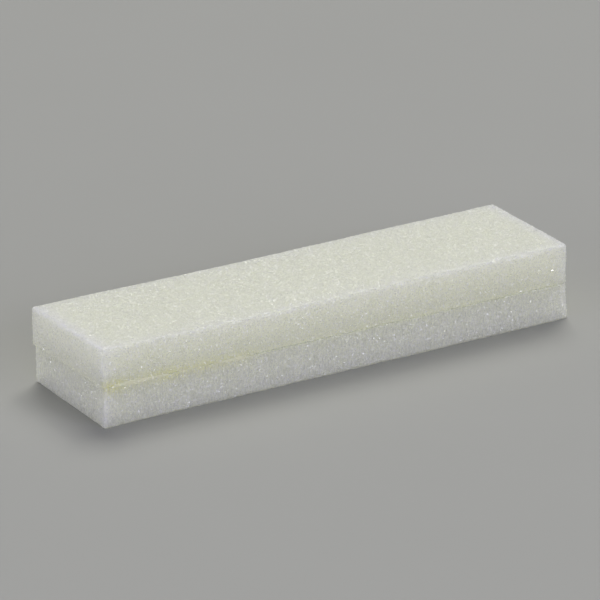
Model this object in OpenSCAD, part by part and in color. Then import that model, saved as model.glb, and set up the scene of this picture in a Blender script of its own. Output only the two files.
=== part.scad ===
// Nail buffer block: two slabs of fine foam glued face to face, with an abrasive coat on the
// four long faces. The two ends are bare cut foam.
// X runs along the block, Y across it and Z up. The origin is at the centre of the underside.

/* [Block] */
// Length over all
block_l = 100.5; // [60:0.5:140]
// Width of both slabs, coats included
block_w = 25; // [15:0.5:40]
// Height of the glued block, coats included
block_h = 14.7; // [12:0.1:40]

/* [Slabs] */
// Height of the lower slab at the left end
seam_h_left = 7.4; // [4:0.1:8]
// Height of the lower slab at the right end
seam_h_right = 6.9; // [4:0.1:8]
// How far the upper slab's left end leans out from its top edge to its lower edge
end_lean = 0.45; // [0:0.05:2]
// How far the upper slab's lip overhangs the lower slab at the left end
lip_overhang = 0.5; // [0.2:0.05:2]

/* [Abrasive] */
// Thickness of the coat of resin and grains on each long face
coat_t = 0.4; // [0.2:0.05:1]

/* [Glue] */
// Thickness of the dried glue between the slabs
glue_t = 0.15; // [0.1:0.05:0.5]
// Height of the glue squeezed out below the seam
bead_h = 0.4; // [0.2:0.05:0.8]
// Length of the bead along the front, from the left end
front_bead_l = 31; // [5:1:60]
// Length of the bead across the left end
end_bead_l = 15; // [2:1:20]

/* [Hidden] */

foam_white = [0.93, 0.94, 0.89];
coat_white = [0.97, 0.97, 0.94];
film_cream = [0.85, 0.84, 0.66];
bead_amber = [0.86, 0.76, 0.42];

right_x = block_l / 2;
lip_x = -block_l / 2;
lower_left_x = lip_x + lip_overhang;
front_bead_x = lower_left_x + front_bead_l;
face_y = block_w / 2;
core_y = face_y - coat_t;
core_top_z = block_h - coat_t;
lip_z = seam_h_left + glue_t;

// Height of the lower slab's top face, which falls evenly from left to right
function seam_z(x) =
    seam_h_left + (seam_h_right - seam_h_left) * (x - lip_x) / block_l;

// Height of the upper slab's underside
function film_top_z(x) = seam_z(x) + glue_t;

// The upper slab's leaning left end, at height z
function end_x(z) = lip_x + end_lean * (z - lip_z) / (block_h - lip_z);

// Outline of the lower slab above height z, in X and Z
function lower_outline(z) = [
    [lower_left_x, z],
    [right_x, z],
    [right_x, seam_z(right_x)],
    [lower_left_x, seam_z(lower_left_x)]
];

// Outline of the upper slab below height z
function upper_outline(z) = [
    [lip_x, lip_z],
    [right_x, film_top_z(right_x)],
    [right_x, z],
    [end_x(z), z]
];

// A strip of height h that follows the seam from x1 to x2, with its top at the upper slab
function seam_strip(x1, x2, h) = [
    [x1, film_top_z(x1) - h],
    [x2, film_top_z(x2) - h],
    [x2, film_top_z(x2)],
    [x1, film_top_z(x1)]
];

// An outline in X and Z, made solid from y1 to y2
module across(outline, y1, y2) {
    translate([0, y2, 0])
        rotate([90, 0, 0])
            linear_extrude(height = y2 - y1)
                polygon(outline);
}

module lower_foam_core() {
    color(foam_white)
        across(lower_outline(coat_t), -core_y, core_y);
}

module upper_foam_core() {
    color(foam_white)
        across(upper_outline(core_top_z), -core_y, core_y);
}

module glue_film() {
    color(film_cream)
        across(seam_strip(lower_left_x, right_x - coat_t, glue_t), -core_y, core_y);
}

// Lies in a recess along the top of the lower front coat
module front_glue_bead() {
    color(bead_amber)
        across(seam_strip(lower_left_x, front_bead_x, glue_t + bead_h), -face_y, -core_y);
}

// Fills the corner under the upper slab's lip
module end_glue_bead() {
    color(bead_amber)
        across(
            [
                [lower_left_x, seam_z(lower_left_x) - bead_h],
                [lower_left_x, film_top_z(lower_left_x)],
                [lip_x, film_top_z(lip_x)]
            ],
            -end_bead_l / 2, end_bead_l / 2
        );
}

module top_grit_coat() {
    color(coat_white)
        across(
            [
                [end_x(core_top_z), core_top_z],
                [right_x, core_top_z],
                [right_x, block_h],
                [end_x(block_h), block_h]
            ],
            -face_y, face_y
        );
}

module bottom_grit_coat() {
    color(coat_white)
        translate([lower_left_x, -face_y, 0])
            cube([right_x - lower_left_x, block_w, coat_t]);
}

// Coat on one long side of the upper slab, from y1 to y2
module upper_side_coat(y1, y2) {
    color(coat_white)
        across(upper_outline(core_top_z), y1, y2);
}

// Coat on one long side of the lower slab, from y1 to y2
module lower_side_coat(y1, y2) {
    color(coat_white)
        across(lower_outline(coat_t), y1, y2);
}

module upper_front_grit_coat() {
    upper_side_coat(-face_y, -core_y);
}

module upper_back_grit_coat() {
    upper_side_coat(core_y, face_y);
}

module lower_back_grit_coat() {
    lower_side_coat(core_y, face_y);
}

// Stops short of the seam where the squeezed-out glue lies
module lower_front_grit_coat() {
    color(coat_white)
        difference() {
            across(lower_outline(coat_t), -face_y, -core_y);
            across(
                seam_strip(lip_x - 1, front_bead_x, glue_t + bead_h),
                -face_y - 1, -core_y + 1
            );
        }
}

lower_foam_core();
upper_foam_core();
glue_film();
front_glue_bead();
end_glue_bead();
top_grit_coat();
bottom_grit_coat();
upper_front_grit_coat();
lower_front_grit_coat();
upper_back_grit_coat();
lower_back_grit_coat();
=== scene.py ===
"""Looks of the nail buffer block: two slabs of fine translucent foam, glued face to face, with
mineral grains bonded to the four long faces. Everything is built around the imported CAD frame.

Lengths inside the shape functions are in millimetres and Blender's meshes are in metres.
"""

import math

import bpy
import numpy as np
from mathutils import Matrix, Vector


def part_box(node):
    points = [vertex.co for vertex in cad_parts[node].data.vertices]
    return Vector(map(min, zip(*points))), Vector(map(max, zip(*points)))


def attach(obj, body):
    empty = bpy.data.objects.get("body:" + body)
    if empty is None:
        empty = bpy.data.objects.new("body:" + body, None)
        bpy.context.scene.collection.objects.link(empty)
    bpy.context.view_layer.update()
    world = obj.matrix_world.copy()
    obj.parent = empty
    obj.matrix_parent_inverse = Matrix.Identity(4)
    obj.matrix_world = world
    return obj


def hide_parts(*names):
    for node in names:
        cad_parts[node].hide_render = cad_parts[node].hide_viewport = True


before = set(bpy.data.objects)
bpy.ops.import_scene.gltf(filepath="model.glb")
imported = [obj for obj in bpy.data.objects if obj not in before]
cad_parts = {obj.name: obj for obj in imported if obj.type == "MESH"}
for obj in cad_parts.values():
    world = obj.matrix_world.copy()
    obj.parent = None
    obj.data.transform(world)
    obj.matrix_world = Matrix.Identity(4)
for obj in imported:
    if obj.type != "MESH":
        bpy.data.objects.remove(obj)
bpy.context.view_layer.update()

MM = 0.001
scene = bpy.context.scene
scene.view_settings.view_transform = "Standard"


# ---------------------------------------------------------------- camera

CAMERA_AZIMUTH = -31.72     # degrees from the front, to the left
CAMERA_ELEVATION = 21.79    # degrees above the table
CAMERA_DISTANCE = 0.9073    # metres from the point that it aims at
CAMERA_LENS = 293.0         # focal length in millimetres
SENSOR_W = 36.0             # sensor width in millimetres
CAMERA_AIM = (0.00124, 0.00332, 0.00841)    # that point, in metres


def make_camera():
    """A long lens that looks down on the front and the left end."""
    azimuth, elevation = math.radians(CAMERA_AZIMUTH), math.radians(CAMERA_ELEVATION)
    back = Vector((
        math.sin(azimuth) * math.cos(elevation),
        -math.cos(azimuth) * math.cos(elevation),
        math.sin(elevation),
    ))
    data = bpy.data.cameras.new("camera")
    data.lens = CAMERA_LENS
    data.sensor_width = SENSOR_W
    data.clip_start, data.clip_end = 0.01, 50.0
    camera = bpy.data.objects.new("camera", data)
    camera.location = Vector(CAMERA_AIM) + back * CAMERA_DISTANCE
    camera.rotation_mode = "QUATERNION"
    camera.rotation_quaternion = (-back).to_track_quat("-Z", "Y")
    scene.collection.objects.link(camera)
    scene.camera = camera


make_camera()


# ---------------------------------------------------------------- noise

def hashed(cell, salt):
    """Three repeatable numbers from 0 to 1 for each row of whole numbers in cell."""
    c = cell.astype(np.int64)
    h = c[:, 0] * 73856093 ^ c[:, 1] * 19349663 ^ c[:, 2] * 83492791 ^ (salt * 2654435761)
    out = np.empty((len(c), 3))
    for k in range(3):
        h = (h ^ (h >> 15)) * 0x2C1B3C6D & 0xFFFFFFFF
        h = (h ^ (h >> 12)) * 0x297A2D39 & 0xFFFFFFFF
        h = (h ^ (h >> 15)) & 0xFFFFFFFF
        out[:, k] = h / 0xFFFFFFFF
    return out


def smooth_noise(p, salt):
    """Noise from -1 to 1 that varies smoothly over a distance of about 1."""
    base = np.floor(p)
    t = p - base
    t = t * t * (3 - 2 * t)
    total = np.zeros(len(p))
    for corner in np.ndindex(2, 2, 2):
        weight = np.prod(np.where(corner, t, 1 - t), axis=1)
        total += weight * hashed(base + corner, salt)[:, 0]
    return 2 * total - 1


def noise_along(distance, size, salt):
    """Noise from -1 to 1 along a line, which varies smoothly over a distance of about size."""
    return smooth_noise(np.stack([distance / size, distance * 0, distance * 0], 1), salt)


CELL_R2 = 0.55  # square of an open cell's radius, for cells 1 apart


def cell_pits(p, salt):
    """1 at the middle of each foam cell, falling to 0 at the walls between the cells."""
    base = np.floor(p)
    nearest = np.full(len(p), 9.0)
    for step in np.ndindex(3, 3, 3):
        cell = base + step - 1
        centre = cell + hashed(cell, salt)
        nearest = np.minimum(nearest, ((centre - p) ** 2).sum(1))
    return np.clip(1 - nearest / CELL_R2, 0, 1)


# ---------------------------------------------------------------- the two slabs

LOWER_R = (0.35, 0.35, 0.35)        # how far the lower slab's worn edges round off in X, Y and Z
UPPER_R = (0.30, 0.60, 0.60)        # the same for the upper slab, whose long edges are softer
SEAM_EDGE_H = 0.05                  # height of that rounding along the seam, where it is crisp
LATTICE_STEP = 0.223                # size of a mesh cell
SEAM_BAND = 6                       # mesh cells kept round the rim of a glued face
PROUD = 0.12                        # how far every outer face stands out from its CAD face
WAVES = ((0.05, 13), (0.03, 3.1))   # height and length of the waves that the cut left
STREAK_H = 0.03                     # height of the upright streaks on the sides
STREAK = (0.35, 0.35, 1.8)          # size of a streak in X, Y and Z
FUZZ = (0.03, 0.4)                  # height and size of the torn cell walls
PIT = (0.06, 0.5)                   # depth and size of an open cell
WAIST = 0.15                        # how far the long back side draws in at mid-length
SAG = 0.20                          # how far the top sinks a little left of mid-length
SAG_PLACE = (-0.2, 0.45)            # middle and reach of the sag, in half lengths of the slab
RISE = 0.15                         # how much higher the top is along its back edge
FOOT = (0.20, 0.65)                 # how far the ends and the front spread where the foam rests
FOOT_H = 2.5                        # height over which that spread fades
TWIST = (0.45, 0.8)                 # how far the left end of each slab draws in at its front corner
END_REACH = 3                       # how far from the left end the twist fades
LIP_CURVE = 1.5                     # how steeply the upper slab's twist fades from its lip upwards
FLARE = 0.15                        # how far the upper slab's back left corner stands out
TIP = 0.2                           # how far the lower slab's front left corner stands out
TIP_REACH = 4                       # how far from the front that corner fades

lower_box = [np.array(c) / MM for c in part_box("lower_foam_core")]
upper_box = [np.array(c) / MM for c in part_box("upper_foam_core")]
film_box = [np.array(c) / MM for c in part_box("glue_film")]
bottom_box = [np.array(c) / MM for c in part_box("bottom_grit_coat")]
top_box = [np.array(c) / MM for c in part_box("top_grit_coat")]

RIGHT_X, LIP_X = upper_box[1][0], upper_box[0][0]
LEFT_X = lower_box[0][0]
WIDTH = bottom_box[1][1] - bottom_box[0][1]
TOP_Z = top_box[1][2]
GLUE_T = film_box[1][2] - lower_box[1][2]
SEAM_LEFT = lower_box[1][2]
SEAM_RIGHT = upper_box[0][2] - GLUE_T
# How far the upper slab's left end leans in at its top
END_LEAN = (top_box[0][0] - LIP_X) * (TOP_Z - SEAM_LEFT) / (top_box[0][2] - SEAM_LEFT)


def seam_z(x):
    """Height of the lower slab's top face."""
    return SEAM_LEFT + (SEAM_RIGHT - SEAM_LEFT) * (x - LEFT_X) / (RIGHT_X - LEFT_X)


class Slab:
    """One foam slab. Its points start on a plain box, with one corner at 0, 0, 0 and the glued
    face at the top or at the bottom; place() rounds, wears and sets them into the block."""

    def __init__(self, name, glued_on_top, salt):
        self.name = name
        self.glued_on_top = glued_on_top
        self.salt = salt
        self.left = LEFT_X if glued_on_top else LIP_X
        height = seam_z(0) if glued_on_top else TOP_Z - seam_z(0) - GLUE_T
        self.edge_r = np.array(LOWER_R if glued_on_top else UPPER_R)
        self.squeeze = self.edge_r[2] - SEAM_EDGE_H
        self.height = height
        self.size = np.array([RIGHT_X - self.left, WIDTH, height + self.squeeze])

    def rounded(self, p):
        """Points moved onto the box with rounded edges, and their outward directions."""
        inner = np.clip(p, self.edge_r, self.size - self.edge_r)
        out = (p - inner) / self.edge_r
        n = out / np.linalg.norm(out, axis=1)[:, None]
        q = inner + n * self.edge_r
        from_seam = self.size[2] - q[:, 2] if self.glued_on_top else q[:, 2]
        crisp = np.where(
            from_seam < self.edge_r[2],
            from_seam * SEAM_EDGE_H / self.edge_r[2],
            from_seam - self.squeeze,
        )
        q[:, 2] = self.height - crisp if self.glued_on_top else crisp
        return q, n

    def relief(self, q, n):
        """How far each point stands out from the clean shape: cut waves, streaks and cells."""
        side = 1 - np.abs(n[:, 2])
        (long_h, long_l), (short_h, short_l) = WAVES
        waves = long_h * smooth_noise(q / long_l, self.salt)
        waves += short_h * smooth_noise(q / short_l, self.salt + 1)
        streaks = STREAK_H * side * smooth_noise(q / STREAK, self.salt + 2)
        fuzz = FUZZ[0] * smooth_noise(q / FUZZ[1], self.salt + 3)
        pits = -PIT[0] * cell_pits(q / PIT[1], self.salt + 4)
        along = 2 * q[:, 0] / self.size[0] - 1
        waist = -WAIST * (1 - along * along) * np.maximum(n[:, 1], 0)
        if self.glued_on_top:
            at_front = 1 - q[:, 1] / WIDTH
            spread = FOOT[0] * at_front * np.abs(n[:, 0]) + FOOT[1] * np.maximum(-n[:, 1], 0)
            rest = spread * np.exp(-q[:, 2] / FOOT_H)
        else:
            hollow = SAG * np.exp(-((along - SAG_PLACE[0]) / SAG_PLACE[1]) ** 2)
            rest = (RISE * q[:, 1] / WIDTH - hollow) * np.maximum(n[:, 2], 0)
        glued = np.maximum(n[:, 2] if self.glued_on_top else -n[:, 2], 0) ** 2
        return (waves + streaks + fuzz + pits + PROUD + waist + rest) * (1 - glued)

    def place(self, p):
        """Box points in place in the block, in millimetres, and their outward directions."""
        q, n = self.rounded(p)
        q = q + n * self.relief(q, n)[:, None]
        x = self.left + q[:, 0]
        y = q[:, 1] - WIDTH / 2
        share = q[:, 2] / self.height
        at_left = np.exp(-q[:, 0] / END_REACH)
        at_front = 1 - q[:, 1] / WIDTH
        if self.glued_on_top:
            corner = at_left ** 2 * np.exp(-q[:, 1] / TIP_REACH)
            x = x + TWIST[0] * at_left * at_front * share
            y = y - TIP * corner * (1 - share)
            z = np.maximum(share * seam_z(x), 0)
        else:
            x = x + END_LEAN * share * at_front * (1 - q[:, 0] / self.size[0])
            lip = np.clip(1 - share, 0, 1) ** LIP_CURVE * at_left
            x = x + TWIST[1] * at_front * lip - FLARE * (1 - at_front) * at_left
            foot = seam_z(x) + GLUE_T
            z = foot + share * (TOP_Z - foot)
        return np.stack([x, y, z], 1), n


def box_lattice(size, step, glued_on_top):
    """Points and faces of a box's surface in even cells. The middle of the glued face is one
    large flat face, because it is never seen."""
    count = np.maximum(np.round(size / step), 2).astype(int)
    i, j, k = np.indices(count + 1)
    glued = k == (count[2] if glued_on_top else 0)
    rim = np.minimum(np.minimum(i, count[0] - i), np.minimum(j, count[1] - j))
    surface = (rim == 0) | (k == 0) | (k == count[2])
    kept = surface & ~(glued & (rim > SEAM_BAND))
    number = np.full(kept.shape, -1)
    number[kept] = np.arange(kept.sum())
    points = np.stack([i[kept], j[kept], k[kept]], 1) * (size / count)

    def quads(layer, flip):
        a, b, c, d = layer[:-1, :-1], layer[1:, :-1], layer[1:, 1:], layer[:-1, 1:]
        q = np.stack([a, d, c, b] if flip else [a, b, c, d], -1).reshape(-1, 4)
        return q[(q >= 0).all(1)]

    faces = np.concatenate([
        quads(number[:, :, 0], True), quads(number[:, :, -1], False),
        quads(number[:, 0, :], False), quads(number[:, -1, :], True),
        quads(number[0, :, :], True), quads(number[-1, :, :], False),
    ])
    face_layer = number[:, :, -1] if glued_on_top else number[:, :, 0]
    ring = face_layer[SEAM_BAND:count[0] - SEAM_BAND + 1, SEAM_BAND:count[1] - SEAM_BAND + 1]
    loop = np.concatenate([ring[:-1, 0], ring[-1, :-1], ring[:0:-1, -1], ring[0, :0:-1]])
    return points, faces.tolist() + [(loop if glued_on_top else loop[::-1]).tolist()]


def new_piece(name, points_mm, faces, material, smooth):
    """A mesh object from points in millimetres."""
    mesh = bpy.data.meshes.new(name)
    mesh.from_pydata((np.asarray(points_mm) * MM).tolist(), [], faces)
    mesh.polygons.foreach_set("use_smooth", np.full(len(mesh.polygons), smooth))
    mesh.materials.append(material)
    mesh.update()
    piece = bpy.data.objects.new(name, mesh)
    scene.collection.objects.link(piece)
    return piece


def set_attributes(piece, shares):
    """Numbers for each point of the mesh, by name, which the material reads."""
    for name, values in shares.items():
        attribute = piece.data.attributes.new(name, "FLOAT", "POINT")
        attribute.data.foreach_set("value", values.astype(np.float32))


# ---------------------------------------------------------------- material helpers

class Nodes:
    """Short names for building one material's node tree."""

    def __init__(self, name):
        self.material = bpy.data.materials.new(name)
        self.material.use_nodes = True
        self.tree = self.material.node_tree
        self.shader = self.tree.nodes["Principled BSDF"]
        self.place = self.add("ShaderNodeTexCoord").outputs["Object"]

    def add(self, kind, **settings):
        node = self.tree.nodes.new(kind)
        for key, value in settings.items():
            setattr(node, key, value)
        return node

    def link(self, source, target):
        self.tree.links.new(source, target)

    def noise(self, size_mm, detail=2.0, stretch=(1, 1, 1)):
        """Noise from 0 to 1 whose features are about size_mm across."""
        mapping = self.add("ShaderNodeMapping")
        mapping.inputs["Scale"].default_value = [1 / (size_mm * MM * s) for s in stretch]
        self.link(self.place, mapping.inputs["Vector"])
        node = self.add("ShaderNodeTexNoise")
        node.inputs["Scale"].default_value = 1.0
        node.inputs["Detail"].default_value = detail
        self.link(mapping.outputs[0], node.inputs["Vector"])
        return node.outputs["Fac"]

    def cell_colour(self, size_mm):
        """Three random numbers from 0 to 1 for each cell, whose size is size_mm."""
        node = self.add("ShaderNodeTexVoronoi")
        node.inputs["Scale"].default_value = 1 / (size_mm * MM)
        self.link(self.place, node.inputs["Vector"])
        return node.outputs["Color"]

    def facets(self, cell, amount):
        """The surface direction, tilted at random in each cell by up to amount."""
        centred = self.add("ShaderNodeVectorMath", operation="SUBTRACT")
        centred.inputs[1].default_value = (0.5, 0.5, 0.5)
        self.link(cell, centred.inputs[0])
        scaled = self.add("ShaderNodeVectorMath", operation="SCALE")
        self.link(centred.outputs[0], scaled.inputs[0])
        self.link(amount, scaled.inputs["Scale"])
        tilted = self.add("ShaderNodeVectorMath", operation="ADD")
        self.link(self.add("ShaderNodeNewGeometry").outputs["Normal"], tilted.inputs[0])
        self.link(scaled.outputs[0], tilted.inputs[1])
        unit = self.add("ShaderNodeVectorMath", operation="NORMALIZE")
        self.link(tilted.outputs[0], unit.inputs[0])
        return unit.outputs[0]

    def attribute(self, name):
        return self.add("ShaderNodeAttribute", attribute_name=name).outputs["Fac"]

    def ramp(self, source, low, high, low_value, high_value):
        """low to high in source becomes low_value to high_value."""
        node = self.add("ShaderNodeMapRange")
        for socket, value in zip(("From Min", "From Max", "To Min", "To Max"),
                                 (low, high, low_value, high_value)):
            node.inputs[socket].default_value = value
        self.link(source, node.inputs["Value"])
        return node.outputs["Result"]

    def times(self, a, b):
        node = self.add("ShaderNodeMath", operation="MULTIPLY")
        self.link(a, node.inputs[0])
        self.link(b, node.inputs[1])
        return node.outputs[0]

    def mix(self, share, a, b):
        """Colour a where share is 0 and b where it is 1. Each is a colour or a socket."""
        node = self.add("ShaderNodeMix", data_type="RGBA")
        self.link(share, node.inputs["Factor"])
        for name, value in (("A", a), ("B", b)):
            socket = next(s for s in node.inputs if s.name == name and s.type == "RGBA")
            if isinstance(value, bpy.types.NodeSocket):
                self.link(value, socket)
            else:
                socket.default_value = (*value, 1)
        return next(s for s in node.outputs if s.type == "RGBA")

    def bump(self, height, distance_mm, strength, below=None):
        node = self.add("ShaderNodeBump")
        node.inputs["Distance"].default_value = distance_mm * MM
        node.inputs["Strength"].default_value = strength
        self.link(height, node.inputs["Height"])
        if below is not None:
            self.link(below, node.inputs["Normal"])
        return node.outputs["Normal"]

    def set(self, **values):
        """Plain values on the shader's own sockets, by name with _ for a space."""
        for name, value in values.items():
            self.shader.inputs[name.replace("_", " ")].default_value = value


# Painted light: the four sides are painted lighter than the top and bottom, in place of light that
# the foam carries in from the top.
BARE_FOAM = (0.79, 0.79, 0.775)     # top and bottom, at the cut ends; darker than the painted light on the sides
COATED_FOAM = (0.785, 0.80, 0.725)  # top and bottom, under the coat; darker than the painted light on the sides
BARE_SIDE_PAINTED_LIGHT = (0.98, 0.985, 0.79)     # the cut ends, painted lighter for the light that the foam carries down
COATED_SIDE_PAINTED_LIGHT = (0.98, 0.99, 0.71)    # front and back, painted lighter for the light that the foam carries down
PAINTED_DEEP_LIGHT_COATED = (0.98, 0.99, 0.635)     # front and back, round the seam: painted yellow-green of light that has travelled far in the foam
PAINTED_DEEP_LIGHT_BARE = (0.98, 0.985, 0.73)     # the cut ends, round the seam: the same painted tint
PAINTED_EDGE_GLOW = (0.94, 0.945, 0.715)    # the sides along the outer edges: painted glow of light entering through two faces
GLUE_STAIN = (0.98, 0.965, 0.40)    # where glue has soaked in
OPEN_FOAM = (0.92, 0.93, 0.69)      # where the cut has torn the cells open, on the lower slab also painted shade
CLOUDY_FOAM = (0.78, 0.79, 0.67)    # faint clouds all over
PAINTED_CELL_SHADE = (0.50, 0.51, 0.40)      # painted shade of cells that lie in their own shade; the torn streaks take it too
PAINTED_CELL_GLINT = (1.0, 1.0, 0.85)     # painted highlight: cells made lighter as if a film in them catches the light
GRAIN_WHITE = (1.0, 1.0, 0.95)      # the clearest grains
CELL_MM = 0.27                      # size of an open cell
CLOUD_MM = 3.0                      # size of a cloud
CLOUD_SHARE = 0.08                  # strength of the clouds
CELL_SHADE_SHARE = 0.12                    # strength of the painted cell shade
TORN_SHARE = 0.55                   # strength of the torn streaks
TORN_MM = 0.2                       # width of a torn streak
TORN_STRETCH = (1, 1, 5)            # the same streak's length in widths, in X, Y and Z
LIGHT_REACH = (16.0, 16.5, 12.5)    # how far red, green and blue light travel in the foam, in mm


def foam_colour(n, cell):
    """The coated skin is a faint warm green, the cut ends are neutral, and glue stains it yellow.
    Painted light: the sides are lighter than the top and bottom, the outer edges glow paler, and
    round the seam the foam takes the yellow-green of light that has travelled far inside it. Each
    open cell is a little different, with painted shade in some and painted highlights in others;
    the lower slab's torn cells are partly painted shade."""
    skin = n.mix(n.attribute("coated"), BARE_FOAM, COATED_FOAM)
    # painted light: the sides are lighter than the top and bottom
    side = n.mix(n.attribute("side"), skin, n.mix(n.attribute("coated"), BARE_SIDE_PAINTED_LIGHT, COATED_SIDE_PAINTED_LIGHT))
    # painted light: round the seam the foam takes the yellow-green of light that has travelled far
    # inside it
    tint = n.mix(n.attribute("coated"), PAINTED_DEEP_LIGHT_BARE, PAINTED_DEEP_LIGHT_COATED)
    deep = n.mix(n.attribute("deep"), side, tint)
    # painted light: the sides glow paler along the outer edges
    edge_glow = n.mix(n.times(n.attribute("edge"), n.attribute("side")), deep, PAINTED_EDGE_GLOW)
    # torn cells, and on the lower slab painted shade for the light that it lacks
    torn_and_shaded = n.mix(n.attribute("open"), edge_glow, OPEN_FOAM)
    stained = n.mix(n.attribute("stained"), torn_and_shaded, GLUE_STAIN)
    clouds = n.ramp(n.noise(CLOUD_MM), 0.3, 0.7, 0.0, CLOUD_SHARE)
    cloudy = n.mix(clouds, stained, CLOUDY_FOAM)
    # painted shade: some cells are darkened as if they lay in their own shade
    cell_shade = n.mix(n.ramp(cell, 0.05, 0.55, CELL_SHADE_SHARE, 0.0), cloudy, PAINTED_CELL_SHADE)
    torn = n.ramp(n.attribute("open"), 0.0, 1.0, 0.0, TORN_SHARE)
    streaks = n.ramp(n.noise(TORN_MM, 1.0, TORN_STRETCH), 0.35, 0.65, 1.0, 0.0)
    streaked = n.mix(n.times(streaks, torn), cell_shade, PAINTED_CELL_SHADE)
    # painted highlight: the brightest cells are made lighter
    return n.mix(n.ramp(cell, 0.70, 0.98, 0.0, 1.0), streaked, PAINTED_CELL_GLINT)


def foam_material():
    """Milky foam that lets light through, with small glossy films in its open cells and painted
    highlights in its brightest cells.
    """
    n = Nodes("foam")
    cell = n.cell_colour(CELL_MM)
    n.link(foam_colour(n, cell), n.shader.inputs["Base Color"])
    n.link(n.ramp(cell, 0.55, 0.75, 0.80, 0.30), n.shader.inputs["Roughness"])
    tilted = n.facets(n.cell_colour(CELL_MM * 1.1), n.ramp(cell, 0.5, 0.95, 0.12, 0.8))
    grain = n.bump(n.noise(0.16, 3.0), 0.03, 0.4, tilted)
    n.link(grain, n.shader.inputs["Normal"])
    n.link(n.attribute("through"), n.shader.inputs["Subsurface Weight"])
    n.set(Subsurface_Radius=LIGHT_REACH, Subsurface_Scale=MM)
    n.set(IOR=1.6, Specular_IOR_Level=0.4)
    return n.material


def grit_material():
    """Clear mineral grains, coloured by the foam under them with its painted light and shade, and
    with bright clean facets.
    """
    n = Nodes("grit")
    foam = foam_colour(n, n.cell_colour(CELL_MM))
    clear = n.ramp(n.noise(0.35), 0.3, 0.7, 0, 0.5)
    n.link(n.mix(clear, foam, GRAIN_WHITE), n.shader.inputs["Base Color"])
    n.link(n.ramp(n.noise(0.8), 0.3, 0.7, 0.10, 0.28), n.shader.inputs["Roughness"])
    n.link(n.bump(n.noise(0.05), 0.01, 0.2), n.shader.inputs["Normal"])
    n.set(IOR=2.4)
    return n.material


def glue_material(name, light, dark, roughness):
    """Dried contact adhesive, cloudy and unevenly yellowed."""
    n = Nodes(name)
    patches = n.ramp(n.noise(1.8), 0.35, 0.65, 0, 1)
    n.link(n.mix(patches, light, dark), n.shader.inputs["Base Color"])
    uneven = n.ramp(n.noise(0.6), 0.3, 0.7, roughness, roughness + 0.2)
    n.link(uneven, n.shader.inputs["Roughness"])
    n.link(n.bump(n.noise(0.3), 0.05, 0.5), n.shader.inputs["Normal"])
    return n.material


# ---------------------------------------------------------------- build the slabs

FOAM = foam_material()
GRIT = grit_material()

COAT_WORN = 0.3             # width of the rim at each cut end where the coat is worn off
COAT_FADE = 2.5             # distance over which the coat then grows full
EDGE_FADE = (1.4, 2.2)      # distance over which an edge's painted glow, and its extra light travelling inside, fade, on the lower and upper slab
DEEP_FADE = (3.5, 6.0)      # how far below and above the seam the painted tint of far-travelled light fades
THROUGH = (0.6, 0.9)        # share of light that travels inside, in the faces and at the edges
SEAM_DARK = (0.45, 0.75)    # part of it lost just below and just above the seam
SEAM_FADE = 1.2             # height over which that loss fades
TABLE_DARK = 0.65           # part of it lost at the underside
TABLE_FADE = 0.8            # height over which that loss fades
TORN_AND_SHADE_SHARE = (0.75, 0.3)    # how open the cut cells of the lower and upper slab are; the lower slab's larger share is also painted shade, as less light reaches it
STAIN_L = 33                # length of the stain along the front seam
STAIN_R = 1.5               # how far the stain reaches from the seam, and into the foam
STAIN_SPOT = 4              # length of a spot in the stain


def coated_share(p, size):
    """1 on the four long faces, 0 on the cut ends, with coat worn off near the corners."""
    from_end = np.minimum(p[:, 0], size[0] - p[:, 0])
    return np.clip((from_end - COAT_WORN) / COAT_FADE, 0, 1)


def edge_share(p, slab):
    """1 along the outer edges, falling off over about 2 mm from them."""
    far = slab.size - p
    outer = p[:, 2] if slab.glued_on_top else far[:, 2]
    planes = [p[:, 0], far[:, 0], p[:, 1], far[:, 1], outer]
    second = np.sort(np.stack(planes), axis=0)[1]
    return np.exp(-second / EDGE_FADE[0 if slab.glued_on_top else 1])


def deep_share(points):
    """1 round the seam, falling off slowly above it and faster below: where the painted tint of
    far-travelled light lies.
    """
    x, _, z = points.T
    above = z - seam_z(x)
    return np.exp(-np.abs(above) / np.where(above > 0, DEEP_FADE[1], DEEP_FADE[0]))


def through_share(points, edge):
    """How much light travels inside the foam: most of it at the outer edges, which glow softly,
    and little where a hidden face would swallow it, at the seam and the underside."""
    x, _, z = points.T
    above = z - seam_z(x)
    lost = np.where(above > 0, SEAM_DARK[1], SEAM_DARK[0])
    at_seam = lost * np.exp(-np.abs(above) / SEAM_FADE)
    hidden = np.maximum(at_seam, TABLE_DARK * np.exp(-z / TABLE_FADE))
    return (THROUGH[0] + (THROUGH[1] - THROUGH[0]) * edge) * (1 - hidden)


def stain_share(points):
    """Where glue has soaked into the foam: along the left part of the front seam."""
    x, y, z = points.T
    reach = np.clip(1 - (x - LEFT_X) / STAIN_L, 0, 1) ** 0.4
    spots = 0.65 + 0.35 * noise_along(x, STAIN_SPOT, 71)
    near_seam = np.exp(-((z - seam_z(x) - GLUE_T / 2) / STAIN_R) ** 2)
    near_front = np.clip(1 - (y + WIDTH / 2) / STAIN_R, 0, 1)
    return reach * spots * near_seam * near_front


def foam_shares(slab, box_points, points, out):
    """Everything that the foam's material reads at each point."""
    edge = edge_share(box_points, slab)
    side = 1 - np.abs(out[:, 2])
    return {
        "coated": coated_share(box_points, slab.size),
        "side": side,
        "open": side * TORN_AND_SHADE_SHARE[0 if slab.glued_on_top else 1],
        "edge": edge,
        "through": through_share(points, edge),
        "deep": deep_share(points),
        "stained": stain_share(points),
    }


def make_slab(slab, node):
    box_points, faces = box_lattice(slab.size, LATTICE_STEP, slab.glued_on_top)
    points, out = slab.place(box_points)
    piece = new_piece(slab.name, points, faces, FOAM, True)
    set_attributes(piece, foam_shares(slab, box_points, points, out))
    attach(piece, "root")
    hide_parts(node)


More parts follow.
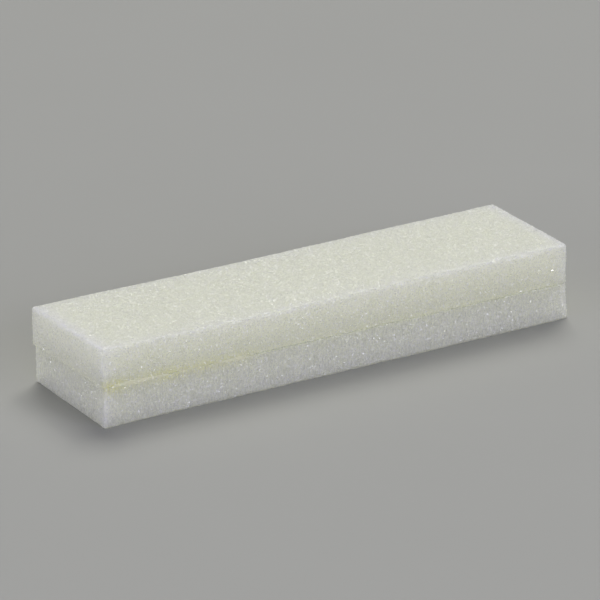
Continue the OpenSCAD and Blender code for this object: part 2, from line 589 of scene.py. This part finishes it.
lower = Slab("lower_foam", True, 11)
upper = Slab("upper_foam", False, 31)
make_slab(lower, "lower_foam_core")
make_slab(upper, "upper_foam_core")


# ---------------------------------------------------------------- grains

GRAIN_PITCH = 0.36      # one grain in each square of this side
STAND_OUT = 0.20        # how far a grain's middle lies above the foam, in grain radii
GRAIN_R = (0.09, 0.26)  # smallest and largest grain radius
COARSE = (1.0, 0.5)     # size of a grain on the sides, and its thickness over its width
FINE = (0.66, 0.3)      # the same on the two working faces, where grains lie flatter
CRYSTAL = np.array([[1, 1, 1], [1, -1, -1], [-1, 1, -1], [-1, -1, 1]]) / math.sqrt(3)
CRYSTAL_FACES = np.array([[0, 1, 2], [0, 3, 1], [0, 2, 3], [1, 3, 2]])


def random_turns(rng, count):
    """Random rotation matrices."""
    q = rng.normal(size=(count, 4))
    w, x, y, z = (q / np.linalg.norm(q, axis=1)[:, None]).T
    rows = [
        1 - 2 * (y * y + z * z), 2 * (x * y - z * w), 2 * (x * z + y * w),
        2 * (x * y + z * w), 1 - 2 * (x * x + z * z), 2 * (y * z - x * w),
        2 * (x * z - y * w), 2 * (y * z + x * w), 1 - 2 * (x * x + y * y),
    ]
    return np.stack(rows, 1).reshape(-1, 3, 3)


def scatter(rng, slab, axis, far, pitch):
    """Evenly spread random box points on one face. axis is the face's own direction, from 0 to
    2 for X to Z, and far picks the face at its high end."""
    first, second = [k for k in range(3) if k != axis]
    count_1, count_2 = (slab.size[[first, second]] / pitch).astype(int)
    i, j = (a.ravel() for a in np.indices((count_1, count_2)))
    p = np.empty((len(i), 3))
    p[:, first] = (i + rng.random(len(i))) / count_1 * slab.size[first]
    p[:, second] = (j + rng.random(len(i))) / count_2 * slab.size[second]
    p[:, axis] = slab.size[axis] if far else 0
    return p


def crystals(rng, slab, p, size, flatness):
    """Corner points of faceted grains partly sunk in the slab at the box points p, and what
    their material reads there."""
    middle, out = slab.place(p)
    radius = size * (GRAIN_R[0] + (GRAIN_R[1] - GRAIN_R[0]) * rng.random(len(p)) ** 2)
    middle = middle + out * radius[:, None] * STAND_OUT
    shape = CRYSTAL * rng.uniform(0.7, 1.2, (len(p), 4, 1)) * radius[:, None, None]
    corners = np.einsum("nij,nkj->nki", random_turns(rng, len(p)), shape)
    rise = np.einsum("nkj,nj->nk", corners, out)
    corners -= (1 - flatness) * rise[:, :, None] * out[:, None]
    points = corners + middle[:, None]
    if slab.glued_on_top:
        points[:, :, 2] = np.maximum(points[:, :, 2], 0)
    return points.reshape(-1, 3), foam_shares(slab, p, middle, out)


def make_grit(name, node, seed, faces, pitch=GRAIN_PITCH, form=COARSE):
    """The grains on one or more faces, each given as a slab, an axis and the high end or not, in
    one mesh."""
    rng = np.random.default_rng(seed)
    parts = [
        crystals(rng, slab, scatter(rng, slab, axis, far, pitch), *form)
        for slab, axis, far in faces
    ]
    points = np.concatenate([corners for corners, _ in parts])
    count = len(points) // 4
    triangles = (CRYSTAL_FACES + 4 * np.arange(count)[:, None, None]).reshape(-1, 3)
    piece = new_piece(name, points, triangles.tolist(), GRIT, False)
    shares = {
        key: np.repeat(np.concatenate([part[key] for _, part in parts]), 4)
        for key in parts[0][1]
    }
    set_attributes(piece, shares)
    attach(piece, "root")
    if node:
        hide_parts(node)


END_X, FACE_Y, FACE_Z = 0, 1, 2
STRAY_PITCH = 0.45  # stray grains on the cut ends lie this far apart

make_grit("top_grit", "top_grit_coat", 101, [(upper, FACE_Z, True)], form=FINE)
make_grit("bottom_grit", "bottom_grit_coat", 102, [(lower, FACE_Z, False)], form=FINE)
make_grit("upper_front_grit", "upper_front_grit_coat", 103, [(upper, FACE_Y, False)])
make_grit("lower_front_grit", "lower_front_grit_coat", 104, [(lower, FACE_Y, False)])
make_grit("upper_back_grit", "upper_back_grit_coat", 105, [(upper, FACE_Y, True)])
make_grit("lower_back_grit", "lower_back_grit_coat", 106, [(lower, FACE_Y, True)])
ends = [(slab, END_X, far) for slab in (upper, lower) for far in (False, True)]
make_grit("stray_grit", None, 107, ends, STRAY_PITCH)


# ---------------------------------------------------------------- glue

FILM = glue_material("glue_film", (0.62, 0.64, 0.48), (0.50, 0.52, 0.38), 0.5)
BEAD = glue_material("glue_bead", (0.78, 0.79, 0.55), (0.79, 0.76, 0.51), 0.45)

FRONT_BEAD_L = (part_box("front_glue_bead")[1].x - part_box("front_glue_bead")[0].x) / MM
END_BEAD_L = (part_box("end_glue_bead")[1].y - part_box("end_glue_bead")[0].y) / MM
FRONT_BEAD_R = (0.5, 0.05)          # half height and half depth of the front bead
END_BEAD_R = (0.2, 0.07)            # the same for the bead under the lip
BEAD_STEPS = (260, 120)             # rings along the front bead and along the end bead
BEAD_SIDES = 12                     # points in each ring
BEAD_THICK = (0.40, 0.50, 0.05)     # a bead's mean, swing and least thickness, as shares
BEAD_LUMP = 1.3                     # length of a lump in a bead
BEAD_DRIFT = 4                      # length of its slower swelling
BEAD_WOBBLE = (0.06, 2)             # how far a bead wanders up and down, and over what length
FILM_STEPS = 500                    # points round the film's rim
FILM_INSET = (0.11, 0.05)           # how far the rim lies behind the foam, and how far it wanders
FILM_EDGE = (0.01, 0.04)            # the lowest two heights of the rim, whose corners are rounded
FILM_ROUND = 0.15                   # how far the rounding goes in


def seam_rim(slab, box_x, box_y):
    """Points on the slab's sides just clear of the seam's edge, and the way out from each."""
    near_seam = slab.size[2] - slab.edge_r[2] if slab.glued_on_top else slab.edge_r[2]
    points, out = slab.place(np.stack([box_x, box_y, box_x * 0 + near_seam], 1))
    out = out * [1, 1, 0]
    return points, out / np.linalg.norm(out, axis=1)[:, None]


def make_film():
    """The dried film between the slabs, whose uneven rim is nearly flush with their sides."""
    corners = np.array([[0, 0], [1, 0], [1, 1], [0, 1], [0, 0]]) * lower.size[:2]
    lengths = np.abs(np.diff(corners, axis=0)).sum(1)
    marks = np.concatenate([[0], np.cumsum(lengths)]) / lengths.sum()
    around = np.linspace(0, 1, FILM_STEPS, endpoint=False)
    box_x, box_y = (np.interp(around, marks, corners[:, k]) for k in (0, 1))
    rim, out = seam_rim(lower, box_x, box_y)
    wander = smooth_noise(rim / 1.5, 81)
    low, mid = FILM_EDGE
    rows = [(low, FILM_ROUND), (mid, 0.0), (GLUE_T - mid, 0.0), (GLUE_T - low, FILM_ROUND)]
    points = []
    for height, back in rows:
        row = rim - out * (FILM_INSET[0] + FILM_INSET[1] * wander + back)[:, None]
        row[:, 2] = seam_z(row[:, 0]) + height
        points.append(row)
    faces = []
    for base in range(0, 3 * FILM_STEPS, FILM_STEPS):
        above = base + FILM_STEPS
        for k in range(FILM_STEPS):
            after = (k + 1) % FILM_STEPS
            faces.append((base + k, base + after, above + after, above + k))
    faces.append(tuple(range(FILM_STEPS - 1, -1, -1)))
    faces.append(tuple(range(3 * FILM_STEPS, 4 * FILM_STEPS)))
    film = new_piece("glue_line", np.concatenate(points), faces, FILM, True)
    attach(film, "root")
    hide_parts("glue_film")


def make_bead(name, node, path, outward, reach, salt):
    """An uneven string of dried glue along a path, pinched off between its blobs. reach is the
    half height and the half depth of its thickest part."""
    steps, sides = len(path), BEAD_SIDES
    distance = np.arange(steps) * np.linalg.norm(path[1] - path[0])
    lumps = noise_along(distance, BEAD_LUMP, salt)
    drift = noise_along(distance, BEAD_DRIFT, salt + 1)
    mean, swing, least = BEAD_THICK
    thick = np.clip(mean + swing * lumps + swing * drift, least, 1)
    ends = np.minimum(np.arange(steps), np.arange(steps)[::-1]) / 8
    thick *= np.sqrt(np.clip(ends, 0.01, 1))
    turn = np.linspace(0, 2 * np.pi, sides, endpoint=False)
    up = np.array([0, 0, 1.0])
    wobble = BEAD_WOBBLE[0] * noise_along(distance, BEAD_WOBBLE[1], salt + 2)
    rings = path[:, None] + thick[:, None, None] * (
        reach[0] * np.sin(turn)[None, :, None] * up
        + reach[1] * np.cos(turn)[None, :, None] * np.asarray(outward)
    ) + wobble[:, None, None] * up
    faces = []
    for step in range(steps - 1):
        for k in range(sides):
            a, b = step * sides + k, step * sides + (k + 1) % sides
            faces.append((a, b, b + sides, a + sides))
    faces.append(tuple(range(sides - 1, -1, -1)))
    faces.append(tuple(range((steps - 1) * sides, steps * sides)))
    bead = new_piece(name, rings.reshape(-1, 3), faces, BEAD, True)
    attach(bead, "root")
    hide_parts(node)


make_film()
front_x = np.linspace(0.6, FRONT_BEAD_L, BEAD_STEPS[0])
front_path, _ = seam_rim(lower, front_x, front_x * 0)
front_path[:, 2] = seam_z(front_path[:, 0]) + GLUE_T / 2
make_bead("front_glue_string", "front_glue_bead", front_path, (0, -1, 0), FRONT_BEAD_R, 91)
end_y = WIDTH / 2 + np.linspace(-END_BEAD_L / 2, END_BEAD_L / 2, BEAD_STEPS[1])
end_path, _ = seam_rim(lower, end_y * 0, end_y)
end_path[:, 2] = seam_z(end_path[:, 0])
make_bead("end_glue_string", "end_glue_bead", end_path, (-1, 0, 0), END_BEAD_R, 95)


# ---------------------------------------------------------------- floor and light

# Lamps are placed and measured in metres
FLOOR_GREY = ((0.430, 0.430, 0.413), (0.440, 0.440, 0.423))
FLOOR_HALF = 4000                   # half the floor's side, in millimetres
WARM = (1.0, 1.0, 0.93)             # colour of the key, the overhead lamp and the small lamps
COOL = (1.0, 1.0, 1.26)             # colour of the two fill lamps
GLINT_SIZE = 0.1                    # side of the small lamps that make the grains sparkle
GLINT_RING = (0.72, 0.88, 2.0)      # middle of the ring of six such lamps
GLINT_RING_R = 0.56                 # radius of that ring
LOW_GLINTS = ((-0.8, -1.9, 0.8), (-1.6, -1.4, 0.65), (-2.1, -0.5, 0.8))     # three lower ones


def floor_material():
    n = Nodes("floor")
    n.link(n.mix(n.noise(40), *FLOOR_GREY), n.shader.inputs["Base Color"])
    n.set(Roughness=0.9, Specular_IOR_Level=0.1)
    return n.material


def make_floor():
    half = FLOOR_HALF
    corners = [(-half, -half, 0), (half, -half, 0), (half, half, 0), (-half, half, 0)]
    floor = new_piece("floor", corners, [(0, 1, 2, 3)], floor_material(), False)


def make_light(name, place, width, height, power, colour):
    """A flat soft light that faces the block."""
    data = bpy.data.lights.new(name, "AREA")
    data.shape = "RECTANGLE"
    data.size, data.size_y = width, height
    data.energy = power
    data.color = colour
    light = bpy.data.objects.new(name, data)
    light.location = place
    light.rotation_mode = "QUATERNION"
    light.rotation_quaternion = (-Vector(place)).to_track_quat("-Z", "Y")
    scene.collection.objects.link(light)


def make_world(colour, strength):
    world = bpy.data.worlds.new("world")
    world.use_nodes = True
    background = world.node_tree.nodes["Background"]
    background.inputs["Color"].default_value = (*colour, 1)
    background.inputs["Strength"].default_value = strength
    scene.world = world


make_floor()
make_light("key", (1.75, 2.15, 4.0), 2.6, 2.6, 119.0, WARM)
make_light("overhead", (0.80, 1.12, 4.6), 3.8, 3.8, 21.5, WARM)
make_light("front_fill", (0.35, -2.0, 0.45), 2.4, 1.44, 22.1, COOL)
make_light("left_fill", (-2.0, 0.0, 0.27), 2.0, 0.5, 11.9, COOL)
for turn in range(6):
    angle = math.radians(60 * turn)
    x = GLINT_RING[0] + GLINT_RING_R * math.cos(angle)
    y = GLINT_RING[1] + GLINT_RING_R * math.sin(angle)
    make_light(f"glint_{turn}", (x, y, GLINT_RING[2]), GLINT_SIZE, GLINT_SIZE, 0.5, WARM)
for turn, place in enumerate(LOW_GLINTS):
    make_light(f"low_glint_{turn}", place, GLINT_SIZE, GLINT_SIZE, 1.5, WARM)
make_world((0.98, 0.99, 1.08), 0.15)
